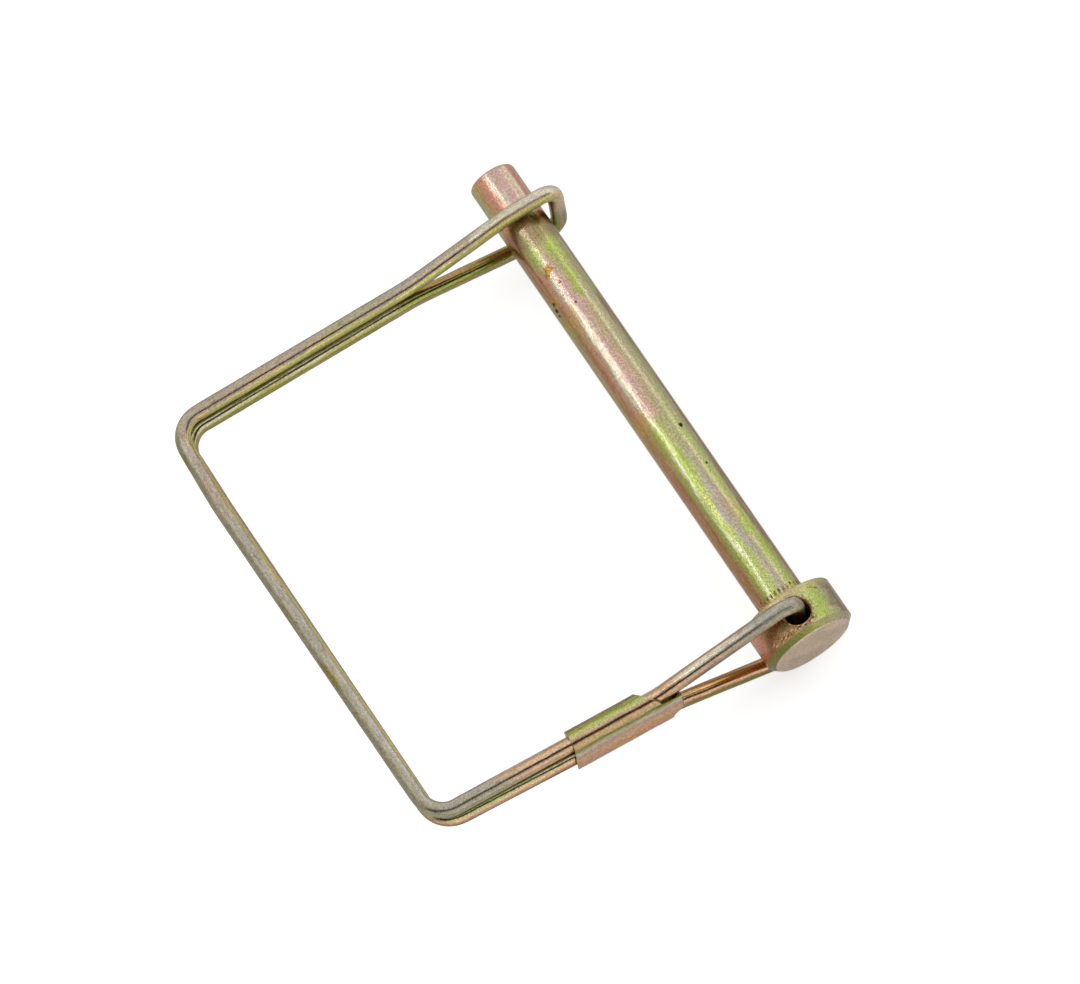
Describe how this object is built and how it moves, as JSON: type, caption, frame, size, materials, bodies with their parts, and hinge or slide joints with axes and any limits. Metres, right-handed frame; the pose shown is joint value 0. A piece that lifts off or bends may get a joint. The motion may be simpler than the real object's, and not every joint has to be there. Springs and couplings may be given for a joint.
{
  "type": "hitch pin lock",
  "caption": "Round steel pin with a collar head, locked by a square spring-wire bail that turns in the head's cross hole and loops over the tip.",
  "frame": {"origin": "centre of the shoulder, where the shank leaves the head", "axes": "+Y along the shank towards its tip, +Z along the head's cross hole, the latched bail lies on the -X side"},
  "size_m": [0.0585, 0.074, 0.0186],
  "materials": {
    "shank": "yellow zinc dichromate plate, drawn bar",
    "head": "yellow zinc dichromate plate, turned",
    "wire": "yellow zinc dichromate plate, worn to grey on top",
    "ferrule": "yellow zinc dichromate plate, pressed sheet"
  },
  "bodies": {
    "pin": {"pin_shank": "shank", "pin_head": "head"},
    "bail": {"bail_wire": "wire", "wire_ferrule": "ferrule"},
    "latch": {"latch_wire": "wire"}
  },
  "joints": [
    {"name": "bail_swing", "type": "hinge", "parent": "pin", "child": "bail", "pos_m": [0, -0.00295, 0], "axis": [0, 0, 1], "range_deg": [0, 255]},
    {"name": "latch_flex", "type": "hinge", "parent": "bail", "child": "latch", "pos_m": [-0.0465, 0.06295, 0], "axis": [0, 0, 1], "range_deg": [0, 15], "stiffness_Nm_per_rad": 0.5}
  ]
}
